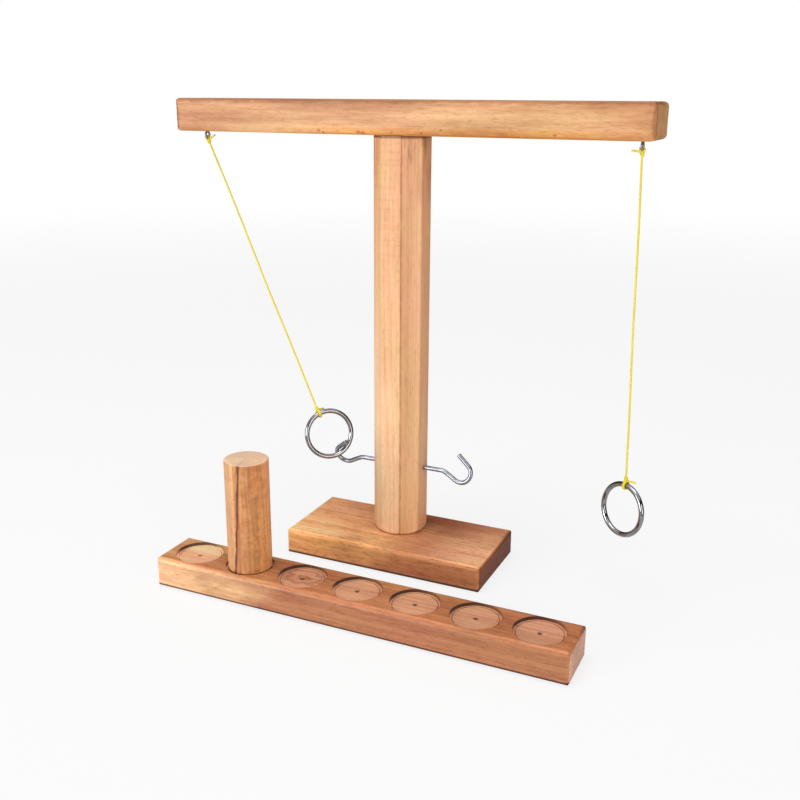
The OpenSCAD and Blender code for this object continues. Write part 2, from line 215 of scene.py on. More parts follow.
# %% [markdown]
# ## The knots
# At the eye the string goes once round the wire, then winds three times round itself, and its cut end is left
# on. At the ring it goes twice round the thicker wire. A knot could be a lump, but it is where the eye looks
# for string, so each is one real route of loops, wraps and cut end, swept with the same plied section.

# %% Loops and wraps
WRAP_R = 0.8
WRAPS = 3
WRAP_TURNS = WRAPS - 0.25
WRAP_PITCH = 1.0
CUT_END = 5.5
CUT_END_POINTS = 7
CUT_END_SLOPE = 0.8 * math.tan(math.radians(20))
CUT_END_SAG = 0.02


def arc(radius, start, end, drift=0.0, steps=28):
    """Points round the Y axis, from a start to an end angle, drifting sideways on the way."""
    points = []
    for i in range(steps + 1):
        t = i / steps
        a = math.radians(start + (end - start) * t)
        points.append((radius * math.sin(a), drift * (t - 0.5), -radius * math.cos(a)))
    return points


def wraps(first, heading, steps=54):
    """Points that wind down and up again round the string, and then those of the cut end."""
    around = math.radians(heading)
    points = []
    for i in range(steps + 1):
        t = i / steps
        a = around - 2 * math.pi * WRAP_TURNS * (1 - t)
        z = -(first + WRAP_PITCH * (WRAPS - 1) * (1 - abs(2 * t - 1)))
        points.append((WRAP_R * math.cos(a), WRAP_R * math.sin(a), z))
    start = Vector(points[-1])
    out = Vector((math.cos(around), math.sin(around), 0))
    for i in range(1, CUT_END_POINTS + 1):
        reach = CUT_END * i / CUT_END_POINTS
        lift = Vector((0, 0, CUT_END_SLOPE * reach - CUT_END_SAG * reach * reach))
        points.append(tuple(start + out * reach + lift))
    return points


print("points in the wraps and cut end:", len(wraps(0, 0)))

# %% [markdown]
# A straight core runs through the wraps, as the string itself does. At a ring the loops lie round its wire,
# which is turned to the string, so they are brought into the string's frame first.

# %% Tie the knots
UPPER_LOOP_R = 1.5
UPPER_FIRST = UPPER_LOOP_R + 0.1
UPPER_END = UPPER_FIRST + WRAP_PITCH * (WRAPS - 1) + STRING_R / MM
LOWER_LOOP_R = 2.5
LOWER_FIRST = LOWER_LOOP_R + 0.85
LOOPS_APART = 0.7
KNOT_SQUEEZE = 0.96
KNOT_STEP = 0.25 * MM
CORE_TUCK = 0.6
LEFT_RING_TURN = (13, 23, -129)
RIGHT_RING_TURN = (5.1, 0, 147.6)
RIGHT_KNOT = RIGHT_FRAME @ Vector((0, 0, -STRING_DROP))


def knot(name, frame_matrix, loops, first, heading, end):
    """One knot: its loops are given in the string's frame, then come wraps, cut end and core."""
    route = placed(frame_matrix, loops + wraps(first, heading))
    winding, _ = string_mesh(name, route, STRING_R * KNOT_SQUEEZE, step=KNOT_STEP)
    core_route = placed(frame_matrix, [(0, 0, CORE_TUCK - first), (0, 0, -end)])
    core, _ = string_mesh(name + "_core", core_route, STRING_R)
    return [winding, core]


def ring_knot(name, place, ring_turn, string_matrix, heading):
    """A knot at a ring: two loops round its wire, then wraps up along the string."""
    wire = Matrix.Translation(place) @ Euler([math.radians(v) for v in ring_turn]).to_matrix().to_4x4()
    up = Matrix.Translation(place) @ string_matrix.to_3x3().to_4x4() @ turn(180, "X")
    into = up.inverted() @ wire @ turn(90, "Z")
    loops = arc(LOWER_LOOP_R, 190, 160 + 2 * 360, drift=2 * LOOPS_APART, steps=60)
    return knot(name, up, [tuple(into @ Vector(p)) for p in loops], LOWER_FIRST, heading, STRING_END)


eye_loop = arc(UPPER_LOOP_R, 20, 345)
left_top = knot("left_eye_knot", LEFT_FRAME, eye_loop, UPPER_FIRST, 10, UPPER_END)
right_top = knot("right_eye_knot", RIGHT_FRAME, eye_loop, UPPER_FIRST, 180, UPPER_END)
left_low = ring_knot("left_ring_knot", LEFT_KNOT, LEFT_RING_TURN, LEFT_FRAME, -80)
right_low = ring_knot("right_ring_knot", RIGHT_KNOT, RIGHT_RING_TURN, RIGHT_FRAME, 0)
print("knots:", len(left_top + right_top + left_low + right_low), "pieces")

# %% [markdown]
# ## What the strings follow
# Each piece rides on the body that it moves with: when the right string swings, its upper knot turns about
# the eye, and its lower knot turns with the ring. The imported strings and knots are hidden.

# %% Attach the strings
RIDES = [
    ([left_line] + left_low, "left_line"),
    ([right_line], "right_line"),
    (left_top, "stand"),
    (right_top, "right_eye_knot"),
    (right_low, "right_ring_knot"),
]
for pieces, body in RIDES:
    for piece in pieces:
        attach(piece, body)
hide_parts("left_string")
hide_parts("right_string")
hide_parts("left_upper_knot")
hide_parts("right_upper_knot")
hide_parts("left_lower_knot")
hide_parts("right_lower_knot")
print("string rides on", [body for pieces, body in RIDES])

# %% [markdown]
# ## Helpers for shader nodes
# A material made by hand is a web of small nodes. Written out one by one they fill pages, so these helpers
# add, set and link a node in one call. A tint multiplies a colour, as a stain or a shadow on real wood does.

# %% Sums, ramps, mixes and tints
def put(tree, kind, inputs=None, **settings):
    """Adds a node, sets its properties, and links or fills its inputs."""
    node = tree.nodes.new("ShaderNode" + kind)
    for key, value in settings.items():
        setattr(node, key, value)
    for key, value in (inputs or {}).items():
        if isinstance(value, bpy.types.NodeSocket):
            tree.links.new(value, node.inputs[key])
        else:
            node.inputs[key].default_value = value
    return node


def math_node(tree, operation, first, *others):
    """A Math node's result. More than two values go through more nodes, one after another."""
    for other in others or (0.0,):
        first = put(tree, "Math", {0: first, 1: other}, operation=operation).outputs[0]
    return first


def plus(tree, *values):
    """A sum."""
    return math_node(tree, "ADD", *values)


def minus(tree, *values):
    """The first value less the others."""
    return math_node(tree, "SUBTRACT", *values)


def times(tree, *values):
    """A product."""
    return math_node(tree, "MULTIPLY", *values)


def size_of(tree, value):
    """A value without its sign."""
    return math_node(tree, "ABSOLUTE", value)


def ramp(tree, value, low, high, out_low=0.0, out_high=1.0):
    """A smooth step of a value from low to high."""
    names = {"Value": value, "From Min": low, "From Max": high, "To Min": out_low, "To Max": out_high}
    return put(tree, "MapRange", names, interpolation_type="SMOOTHSTEP").outputs["Result"]


def opaque(colour):
    """A colour with its alpha, or the socket that brings one."""
    return colour if isinstance(colour, bpy.types.NodeSocket) else tuple(colour) + (1,)


def mix(tree, share, a, b, **settings):
    """A mix of two colours."""
    return put(tree, "Mix", {0: share, 6: opaque(a), 7: opaque(b)}, data_type="RGBA", **settings).outputs[2]


def tint(tree, colour, *layers):
    """A colour multiplied by one tone after another, each as much as its share says."""
    for share, tone in layers:
        colour = mix(tree, share, colour, tone, blend_type="MULTIPLY")
    return colour


print("white with its alpha is", opaque((1, 1, 1)))

# %% [markdown]
# The other helpers are about places on a piece, in metres in its own space, so that a finish stays on the
# wood when the piece moves.

# %% Places, noise and directions
def vector_math(tree, operation, a, b=(0, 0, 0)):
    """A Vector Math node's vector result."""
    return put(tree, "VectorMath", {0: a, 1: b}, operation=operation).outputs[0]


def stretched(tree, vector, shares):
    """A place whose three parts are multiplied by three shares."""
    return vector_math(tree, "MULTIPLY", vector, shares)


def length_of(tree, vector):
    """The length of a vector."""
    return put(tree, "VectorMath", {0: vector}, operation="LENGTH").outputs["Value"]


def parts_of(tree, vector):
    """The X, Y and Z of a vector."""
    return put(tree, "SeparateXYZ", {0: vector}).outputs


def facing_of(tree):
    """The X, Y and Z of the direction that the surface faces, in the piece's own space."""
    return parts_of(tree, put(tree, "TexCoord").outputs["Normal"])


def noise(tree, vector, scale, detail=2.0, roughness=0.5):
    """Noise around a half."""
    names = {"Vector": vector, "Scale": scale, "Detail": detail, "Roughness": roughness}
    return put(tree, "TexNoise", names).outputs["Fac"]


def wander(tree, vector, scale, width):
    """Noise around zero, which makes a border stray over a width."""
    return times(tree, minus(tree, noise(tree, vector, scale, 3.0), 0.5), width)


def new_material(name):
    """A material with an empty tree."""
    material = bpy.data.materials.new(name)
    material.use_nodes = True
    material.node_tree.nodes.clear()
    return material, material.node_tree


print("pieces that wait for a finish:", len(nodes))

# %% [markdown]
# ## Floor
# The game stands on a plain pale table. The floor is a wide sheet that keeps a faint shadow: to the camera it
# is mostly a plain glow, and partly a matt white that the lamps light. Far away it turns into the white of
# the world, so no horizon shows.

# %% Floor
FLOOR_RADIUS = 12
FLOOR_GLOW = 0.80
FLOOR_WHITE = 0.88
GLOW_START, GLOW_END = 0.5, 2.6

bpy.ops.mesh.primitive_circle_add(vertices=96, radius=FLOOR_RADIUS, fill_type="TRIFAN")
floor = bpy.context.active_object
floor.name = "floor"

floor_material, tree = new_material("floor")
distance = length_of(tree, put(tree, "TexCoord").outputs["Object"])
seen = put(tree, "LightPath").outputs["Is Camera Ray"]
glow = times(tree, seen, ramp(tree, distance, GLOW_START, GLOW_END, FLOOR_GLOW))
matt = put(tree, "BsdfDiffuse", {"Color": opaque([FLOOR_WHITE] * 3)}).outputs[0]
white = put(tree, "Emission", {"Color": opaque((1, 1, 1))}).outputs[0]
put(tree, "OutputMaterial", {"Surface": put(tree, "MixShader", {0: glow, 1: matt, 2: white}).outputs[0]})
floor.data.materials.append(floor_material)
print("floor glows", FLOOR_GLOW, "near the game")

# %% [markdown]
# The world is white where the camera or a mirror sees it, and only a third as strong where it lights the
# game, because the lamps do that. Light Path tells the two kinds of ray apart.

# %% World
WORLD_LIGHT = 0.34

world = bpy.data.worlds.new("studio")
bpy.context.scene.world = world
world.use_nodes = True
tree = world.node_tree
tree.nodes.clear()
ray = put(tree, "LightPath").outputs
seen_by = ray["Is Camera Ray"], ray["Is Glossy Ray"], ray["Is Transmission Ray"]
shown = math_node(tree, "MAXIMUM", *seen_by)
level = ramp(tree, shown, 0.0, 1.0, WORLD_LIGHT)
sky = put(tree, "Background", {"Color": opaque((1, 1, 1)), "Strength": level}).outputs[0]
put(tree, "OutputWorld", {"Surface": sky})
print("world lights at", WORLD_LIGHT)

# %% [markdown]
# ## Dark cards for the metal
# A polished ring in an all-white room looks like paper, because it has nothing dark to mirror. Photographers
# put black cards beside the object, out of the picture. Here a dark wall stands round the table and a grey
# apron lies on it, and only reflections see them, so they take no light away.

# %% Dark cards
BLACK_CARD = (0.030, 0.028, 0.034)
GREY_CARD = (0.28, 0.27, 0.28)
WALL_START, WALL_END = -25, 285
HIDDEN_FROM = ("camera", "diffuse", "transmission", "volume_scatter", "shadow")


def card_edge(radius, height, start, end, steps=40):
    """Points of an arc round the table at one height."""
    angles = [math.radians(start + (end - start) * i / steps) for i in range(steps + 1)]
    return [(radius * math.sin(a), -radius * math.cos(a), height) for a in angles]


def card(name, one_edge, other_edge, colour):
    """A sheet between two edges, with a weak plain glow, that only reflections see."""
    material, tree = new_material(name)
    glow = put(tree, "Emission", {"Color": opaque(colour)}).outputs[0]
    put(tree, "OutputMaterial", {"Surface": glow})
    count = len(one_edge)
    faces = [(i, i + 1, count + i + 1, count + i) for i in range(count - 1)]
    mesh = bpy.data.meshes.new(name)
    mesh.from_pydata(one_edge + other_edge, [], faces)
    mesh.materials.append(material)
    sheet = bpy.data.objects.new(name, mesh)
    bpy.context.scene.collection.objects.link(sheet)
    for kind in HIDDEN_FROM:
        setattr(sheet, "visible_" + kind, False)


wall_foot = card_edge(2.4, 0.02, WALL_START, WALL_END)
card("dark_wall", wall_foot, card_edge(2.2, 2.1, WALL_START, WALL_END), BLACK_CARD)
card("grey_apron", card_edge(0.50, 0.002, 0, 360), card_edge(2.6, 0.004, 0, 360), GREY_CARD)
print("the dark wall covers", WALL_END - WALL_START, "degrees")

# %% [markdown]
# ## Lamps
# One large lamp from the front left makes the left side of the post the light one, as in a product
# photograph. A weaker one from above lights the tops of the boards, and one from the right fills the shadows.

# %% Lamps
def lamp(name, place, toward, size, power):
    """A square soft lamp, aimed at a point."""
    light = bpy.data.objects.new(name, bpy.data.lights.new(name, "AREA"))
    light.data.size = size
    light.data.energy = power
    light.location = place
    light.rotation_euler = (Vector(toward) - Vector(place)).to_track_quat("-Z", "Y").to_euler()
    bpy.context.scene.collection.objects.link(light)


lamp("key", (-1.00, -1.90, 0.46), (0, 0, 0.11), 1.0, 26.0)
lamp("top", (-0.15, -0.30, 1.9), (0, -0.03, 0.1), 1.0, 15.0)
lamp("fill", (1.60, -1.25, 0.55), (0, 0, 0.10), 1.2, 14.0)
print("lamps:", [light.name for light in bpy.data.lights])

# %% [markdown]
# ## Beech
# Beech is pale and pinkish, with growth rings that show as soft lines along the board, darker bands where the
# rings crowd, and the small dark dashes, one to four millimetres long, that tell it from other woods.
# A picture could be laid over each board, but it would run the same way round a corner. Solid noise cuts
# through the wood, so a ring that runs along the front of a board comes out as an arc on its end. One node
# group makes it for every piece. It wants a place in metres, the grain along Z and the pith at zero.

# %% Start the beech group
def new_group(name, inputs, outputs):
    """An empty node group, the sockets that bring its inputs, and its output node."""
    tree = bpy.data.node_groups.new(name, "ShaderNodeTree")
    for way, sockets in (("INPUT", inputs), ("OUTPUT", outputs)):
        for label, kind in sockets.items():
            tree.interface.new_socket(label, in_out=way, socket_type="NodeSocket" + kind)
    return tree, tree.nodes.new("NodeGroupInput").outputs, tree.nodes.new("NodeGroupOutput")


def use_group(tree, group, inputs):
    """Places a group in a tree, with its inputs."""
    return put(tree, "Group", inputs, node_tree=group).outputs


beech, given, made = new_group(
    "beech",
    {
        "Vector": "Vector", "Facing": "Vector", "Pale": "Color", "Deep": "Color", "Ring Spacing": "Float",
        "Bands": "Float", "Clouds": "Float", "Flecks": "Float", "Lines": "Float",
    },
    {"Color": "Color", "Height": "Float", "Gloss": "Float", "End": "Float"},
)
inside = given["Vector"]
print("the beech group takes", len(given) - 1, "inputs")

# %% [markdown]
# The growth rings are circles round the pith, bent by slow noise, and each year ends in a dark line that is
# strong in some years and faint in others. Bands are groups of years, and clouds are long soft patches.
# Fibres and strands are noise drawn out along the grain. The end mask tells where the surface cuts across it.

# %% Growth rings, bands and fibres
PITH_BEND = (0.016, 0.016, 0)

along = stretched(beech, inside, (1, 1, 0.10))
bend = put(beech, "TexNoise", {"Vector": along, "Scale": 26.0, "Detail": 2.5}).outputs["Color"]
bend = stretched(beech, vector_math(beech, "SUBTRACT", bend, (0.5, 0.5, 0.5)), PITH_BEND)
flat = stretched(beech, vector_math(beech, "ADD", inside, bend), (1, 1, 0))
rings = math_node(beech, "DIVIDE", length_of(beech, flat), given["Ring Spacing"])
year = math_node(beech, "FRACT", rings)
late = times(beech, ramp(beech, year, 0.15, 0.88), ramp(beech, year, 0.90, 1.0, 1.0, 0.0))
year_number = {"W": math_node(beech, "FLOOR", rings)}
each_year = put(beech, "TexWhiteNoise", year_number, noise_dimensions="1D").outputs["Value"]
ring_line = times(beech, late, ramp(beech, each_year, 0, 1, 0.15))
bands = ramp(beech, noise(beech, flat, 130.0, 3.0), 0.36, 0.70)
clouds = ramp(beech, noise(beech, stretched(beech, inside, (1, 1, 0.22)), 42.0, 4.0, 0.6), 0.38, 0.66)
warmth = noise(beech, stretched(beech, inside, (1, 1, 0.3)), 60.0)
fibres = noise(beech, stretched(beech, inside, (1, 1, 0.035)), 1500.0, 3.0, 0.6)
strands = noise(beech, stretched(beech, inside, (1, 1, 0.06)), 420.0)
end = ramp(beech, size_of(beech, parts_of(beech, given["Facing"])["Z"]), 0.72, 0.93)
print("growth rings and fibres:", len(beech.nodes), "nodes")

# %% [markdown]
# The dashes are beech's rays, cut across. They are the cells of a pattern that is stretched along the grain,
# one dash in each picked cell, in a fine and a coarse size, with noise for the faintest ones. On the end of a
# board no dashes show, but fine pores do.

# %% Dashes and pores
def dashes(scale, stretch, least, share):
    """Short dashes along the grain: one in each picked cell of a stretched pattern."""
    spot = stretched(beech, inside, (1, 1, stretch))
    cells = put(beech, "TexVoronoi", {"Vector": spot, "Scale": scale})
    pick = put(beech, "SeparateColor", {0: cells.outputs["Color"]}).outputs[0]
    shape = ramp(beech, cells.outputs["Distance"], least, least + 0.14, 1.0, 0.0)
    return times(beech, shape, ramp(beech, pick, 1 - share, 1 - share * 0.5))


ticks = ramp(beech, noise(beech, stretched(beech, inside, (1, 1, 0.20)), 950.0, 2.0, 0.6), 0.50, 0.72)
fine_fleck = times(beech, dashes(900.0, 0.24, 0.12, 0.7), 0.7)
coarse_fleck = times(beech, dashes(360.0, 0.16, 0.05, 0.22), 0.8)
fleck = math_node(beech, "MAXIMUM", fine_fleck, coarse_fleck, times(beech, ticks, 0.75))
fleck = times(beech, fleck, minus(beech, 1.0, end))
pore_cells = put(beech, "TexVoronoi", {"Vector": flat, "Scale": 1700.0}).outputs["Distance"]
pores = times(beech, ramp(beech, pore_cells, 0.12, 0.3, 1.0, 0.0), end)
print("with dashes and pores:", len(beech.nodes), "nodes")

# %% [markdown]
# All of these add up to one depth, from the pale tone at 0 to the deep tone at 1. It mixes the colour, which
# is then warmed and cooled in patches, and darkened by the dashes and pores. End grain drinks more oil, so
# it is deeper and duller.

# %% Colour, height and gloss
END_DEPTH = 0.55
MOST_DEPTH = 1.4
WARM_TONE, COOL_TONE = (1.03, 0.96, 0.98), (0.98, 1.02, 0.93)
FLECK_TONE, PORE_TONE = (0.56, 0.36, 0.25), (0.5, 0.32, 0.22)

patches = plus(beech, times(beech, bands, given["Bands"]), times(beech, clouds, given["Clouds"]))
depth = plus(
    beech,
    times(beech, ring_line, ramp(beech, end, 0, 1, 0.36, 0.50), given["Lines"]),
    times(beech, patches, ramp(beech, end, 0, 1, 1.0, 0.35)),
    ramp(beech, fibres, 0.25, 0.75, -0.16, 0.16),
    ramp(beech, strands, 0.3, 0.7, -0.10, 0.10),
    times(beech, end, END_DEPTH),
)
depth = math_node(beech, "MINIMUM", math_node(beech, "MAXIMUM", depth, 0.0), MOST_DEPTH)
colour = tint(
    beech, mix(beech, depth, given["Pale"], given["Deep"]),
    (0.85, mix(beech, ramp(beech, warmth, 0.35, 0.65), WARM_TONE, COOL_TONE)),
    (times(beech, fleck, given["Flecks"]), FLECK_TONE),
    (times(beech, pores, 0.5), PORE_TONE),
)
dips = times(beech, fleck, 0.35), pores, times(beech, ring_line, 0.15)
height = minus(beech, times(beech, fibres, 0.5), *dips)
gloss = plus(beech, ramp(beech, fibres, 0.2, 0.8, 0.36, 0.52), times(beech, end, 0.12))
for label, socket in (("Color", colour), ("Height", height), ("Gloss", gloss), ("End", end)):
    beech.links.new(socket, made.inputs[label])
print("beech group:", len(beech.nodes), "nodes")

# %% [markdown]
# ## Softened edges
# A board's edges are rounded, and their tones are painted: on the base and the rail a painted highlight along
# the front and painted shade along the foot. Blender can find edges where a mesh is dense, but these boards
# are a few large faces. A board is a box, so the edge can be worked out: at a point of the surface one of the
# three distances to the faces is about zero, and the middle one of the three is how far the nearest edge is.

# %% The board edge group
edge, given, made = new_group(
    "board_edge",
    {"Vector": "Vector", "Middle": "Vector", "Half Size": "Vector", "Width": "Float"},
    {"Mask": "Float"},
)
away = vector_math(edge, "SUBTRACT", given["Vector"], given["Middle"])
away = vector_math(edge, "ABSOLUTE", away)
x, y, z = parts_of(edge, vector_math(edge, "SUBTRACT", given["Half Size"], away))
least = math_node(edge, "MINIMUM", x, y, z)
most = math_node(edge, "MAXIMUM", x, y, z)
middle = minus(edge, plus(edge, x, y, z), least, most)
rough_edge = times(edge, noise(edge, given["Vector"], 120.0, 3.0), 1.6)
reach = times(edge, given["Width"], rough_edge)
share = ramp(edge, math_node(edge, "DIVIDE", middle, reach), 0.3, 1.0)
edge.links.new(minus(edge, 1.0, share), made.inputs["Mask"])
print("board edge group:", len(edge.nodes), "nodes")

# %% [markdown]
# The base and the rail get a painted highlight along their front edges and are darker at the back, with
# painted shade on their lower edges and a thin painted shadow where their rounded edge meets the table. The
# beam's edges are a little darker all round.

# %% Paint the edges of a board
EDGE_WIDTH = 0.0040
# the colour of the painted contact shadow where a board meets the table
CONTACT_SHADOW_TONE = (0.18, 0.09, 0.06)
# board edge tones: a painted highlight on the front edges, darker rear edges, painted shade on the lower
# edges
BOARD_EDGES = (1.24, 1.20, 1.10), (0.66, 0.52, 0.44), (0.42, 0.32, 0.27)
BEAM_EDGES = (0.70, 0.58, 0.50), (0.90, 0.80, 0.74), (0.98, 0.93, 0.80)


def edge_paint(tree, spot, colour, node_name, front_tone, rear_tone, foot_tone):
    """Tones for a board's front, rear and foot edges, and the painted shadow line at the table."""
    low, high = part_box(node_name)
    middle = (low + high) / 2
    edge_band = use_group(tree, edge, {
        "Vector": spot, "Middle": tuple(middle), "Half Size": tuple((high - low) / 2), "Width": EDGE_WIDTH,
    })["Mask"]
    place = parts_of(tree, spot)
    rear = ramp(tree, place["Y"], middle.y, middle.y + 0.4 * (high.y - low.y))
    foot = ramp(tree, place["Z"], low.z + 0.0008, low.z + 0.0034, 1.0, 0.0)
    tone = mix(tree, foot, mix(tree, rear, front_tone, rear_tone), foot_tone)
    # the edge band carries the painted highlight and the painted shade along the rounded edges
    colour = tint(tree, colour, (edge_band, tone))
    if low.z < MM:
        # a thin painted shadow where the board meets the table
        colour = tint(tree, colour, (ramp(tree, place["Z"], 0.0022, 0.0033, 0.92, 0.0), CONTACT_SHADOW_TONE))
    return colour


print("worn edges are up to", EDGE_WIDTH / MM, "mm wide")

# %% [markdown]
# ## One material for each piece of wood
# All pieces are beech, but each was cut from another board. So each has its own material with the same group:
# its own turn, so that the grain runs the right way, its own distance from the pith, which makes the lines
# straight or arched, and its own two colours. Then come its painter, for what is special to it, and its
# edges. The last mix holds each channel at 1 or less, because no wood gives back more light than it gets.
# The varnish is a thin satin coat.

# %% Build a wood material
ALONG_X = (0, math.radians(-90), 0)
ALONG_Z = (0, 0, 0)


def linear(r, g, b):
    """A screen colour, each channel 0 to 255, as the light values that shaders use."""
    channels = [c / 255 for c in (r, g, b)]
    return tuple(c / 12.92 if c <= 0.04045 else ((c + 0.055) / 1.055) ** 2.4 for c in channels)


def wood(name, grain, pith, pale, deep, spacing=0.0024, bands=0.5, clouds=0.4, flecks=0.6, lines=1.0,
         end_tone=(1, 1, 1), painter=None, edges=None):
    """A beech material. grain is the turn that brings its grain to Z, pith the shift after it."""
    material, tree = new_material(name)
    own = put(tree, "TexCoord").outputs
    spot = put(tree, "Mapping", {"Vector": own["Object"], "Rotation": grain, "Location": pith}).outputs[0]
    turned = {"Vector": own["Normal"], "Rotation": grain}
    facing = put(tree, "Mapping", turned, vector_type="NORMAL").outputs[0]
    grown = use_group(tree, beech, {
        "Vector": spot, "Facing": facing, "Pale": opaque(linear(*pale)), "Deep": opaque(linear(*deep)),
        "Ring Spacing": spacing, "Bands": bands, "Clouds": clouds, "Flecks": flecks, "Lines": lines,
    })
    colour = tint(tree, grown["Color"], (grown["End"], end_tone))
    if painter:
        colour = painter(tree, own["Object"], colour)
    if edges:
        colour = edge_paint(tree, own["Object"], colour, *edges)
    colour = mix(tree, 1.0, colour, (1, 1, 1), blend_type="MULTIPLY", clamp_result=True)
    bump = put(tree, "Bump", {"Height": grown["Height"], "Strength": 0.4, "Distance": 0.00025}).outputs[0]
    surface = put(tree, "BsdfPrincipled", {
        "Base Color": colour, "Roughness": grown["Gloss"], "Normal": bump,
        "Coat Weight": 0.10, "Coat Roughness": 0.30, "Specular IOR Level": 0.30,
    }).outputs[0]
    put(tree, "OutputMaterial", {"Surface": surface})
    return material


def dress(node_name, material):
    """Puts a material in every slot of a piece."""
    slots = nodes[node_name].data.materials
    if not slots:
        slots.append(material)
    for i in range(len(slots)):
        slots[i] = material


print("a middle grey is", round(linear(128, 128, 128)[0], 3), "in light")

# %% [markdown]
# The two lower boards fade from a pale left end to a browner right end. A mask along the board does it, with
# its border broken up by noise, so that it reads as wood. It is weak on the sawn end, and can be weaker on
# the top. The tops get a tone of their own.

# %% Fade along a board
END_FADE = 0.15


def fade(node_name, tone, start, end, on_top=1.0):
    """A painter of the left end: full to the start share of the length, gone by the end share."""
    low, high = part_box(node_name)
    length = high.x - low.x

    def paint(tree, spot, colour):
        x = plus(tree, parts_of(tree, spot)["X"], wander(tree, spot, 30.0, 0.12))
        mask = ramp(tree, x, low.x + start * length, low.x + end * length, 1.0, 0.0)
        facing = facing_of(tree)
        mask = times(tree, mask, ramp(tree, size_of(tree, facing["X"]), 0.70, 0.95, 1.0, END_FADE))
        mask = times(tree, mask, ramp(tree, facing["Z"], 0.50, 0.95, 1.0, on_top))
        return tint(tree, colour, (mask, tone))

    return paint


def up_face(tree):
    """A mask of the faces that look up."""
    return ramp(tree, facing_of(tree)["Z"], 0.60, 0.95)


print("a fade keeps", END_FADE, "of its strength on a sawn end")

# %% [markdown]
# ## The base
# The base is a brown board with a pale left end. Its top is palest at both ends, a little darker round the
# post, and darker again behind it. The pale top is partly the wood's tone and partly a painted highlight. A
# picture of that would blur close up, so ramps along the board's length and depth make these tones, with
# borders that stray.

# %% The base
# tones of the top: partly the wood's own and partly a painted highlight
BASE_TOP_LEFT, BASE_TOP_MIDDLE, BASE_TOP_RIGHT = (1.40, 1.55, 2.15), (1.20, 1.36, 1.68), (1.95, 2.80, 4.00)
BASE_BEHIND_POST = (0.74, 0.64, 0.60)
base_fade = fade("base", (2.05, 2.80, 2.62), 0.02, 0.80)


def paint_base(tree, spot, colour):
    """The fade, the pale top, partly a painted highlight, and the darker wood behind the post."""
    place = parts_of(tree, spot)
    stray = wander(tree, spot, 45.0, 0.020)
    x = plus(tree, place["X"], stray)
    y = plus(tree, place["Y"], stray)
    top = mix(tree, ramp(tree, x, -0.060, -0.015), BASE_TOP_LEFT, BASE_TOP_MIDDLE)
    top = mix(tree, ramp(tree, x, 0.018, 0.070), top, BASE_TOP_RIGHT)
    behind = ramp(tree, y, -0.004, 0.026, 0.0, 0.9)
    return tint(tree, base_fade(tree, spot, colour), (up_face(tree), top), (behind, BASE_BEHIND_POST))


dress("base", wood(
    "base_beech", ALONG_X, (0.05, 0.075, 0.1), (189, 122, 78), (150, 80, 46),
    spacing=0.0034, bands=0.22, clouds=0.50, flecks=0.85, lines=0.55,
    end_tone=(0.56, 0.38, 0.21), painter=paint_base, edges=("base", *BOARD_EDGES),
))
print("base dressed in", nodes["base"].data.materials[0].name)

# %% [markdown]
# ## The beam
# The beam was cut near the outside of the tree. Along its lower edge runs a golden band with a few small dark
# knots, and its left end is browner than the rest. Each knot is a place along the beam, a height over its
# lower edge and a half width, in millimetres. All are equally high, because the grain draws them out
# sideways alone.

# %% The beam
BEAM_KNOTS = [
    (-55, 2.5, 2.0), (-51.5, 1.0, 1.3), (-26, 2.0, 1.8), (-22.5, 1.5, 2.1),
    (-2, 2.0, 1.2), (18.5, 2.0, 1.3), (31.5, 4.0, 1.4), (104.5, 2.5, 1.7),
]
KNOT_HALF_HEIGHT = 1.3
GOLDEN_TONE = (1.02, 0.86, 0.42)
LEFT_TONE, RIGHT_TONE, LEFT_LINE = (0.84, 0.76, 0.76), (0.94, 0.90, 0.94), (0.56, 0.44, 0.40)
BEAM_KNOT_TONE = (0.62, 0.30, 0.12)
beam_low, beam_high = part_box("crossbeam")


def paint_beam(tree, spot, colour):
    """The golden band, the browner ends and the knots."""
    x = parts_of(tree, spot)["X"]
    above = minus(tree, parts_of(tree, spot)["Z"], beam_low.z)
    stray = wander(tree, stretched(tree, spot, (0.12, 1, 1)), 190.0, 0.008)
    band = ramp(tree, plus(tree, above, stray), 0.0030, 0.0066, 1.0, 0.0)
    starts = ramp(tree, x, -0.11, -0.01)
    ends = ramp(tree, x, 0.10, 0.16, 1.0, 0.35)
    colour = tint(
        tree, colour,
        (times(tree, band, starts, ends), GOLDEN_TONE),
        (ramp(tree, x, beam_low.x, beam_low.x + 0.07, 0.9, 0.0), LEFT_TONE),
        (ramp(tree, x, beam_low.x + 0.0004, beam_low.x + 0.0024, 0.8, 0.0), LEFT_LINE),
        (ramp(tree, x, beam_high.x - 0.10, beam_high.x - 0.01, 0.0, 0.9), RIGHT_TONE),
    )
    for knot_x, knot_z, half_width in BEAM_KNOTS:
        beside = times(tree, minus(tree, x, knot_x * MM), KNOT_HALF_HEIGHT / half_width)
        up = minus(tree, above, knot_z * MM)
        out = length_of(tree, put(tree, "CombineXYZ", {"X": beside, "Y": up}).outputs[0])
        ragged = plus(tree, out, times(tree, stray, 0.12))
        dark = ramp(tree, ragged, 0.0002, KNOT_HALF_HEIGHT * MM, 0.9, 0.0)
        colour = tint(tree, colour, (dark, BEAM_KNOT_TONE))
    return colour


dress("crossbeam", wood(
    "beam_beech", ALONG_X, (0.3065, 0.085, 0.7), (223, 174, 121), (178, 120, 71),
    spacing=0.0030, bands=0.42, clouds=0.50, flecks=0.45,
    end_tone=(1.30, 1.48, 1.60), painter=paint_beam, edges=("crossbeam", *BEAM_EDGES),
))
print("beam dressed, with", len(BEAM_KNOTS), "small knots")
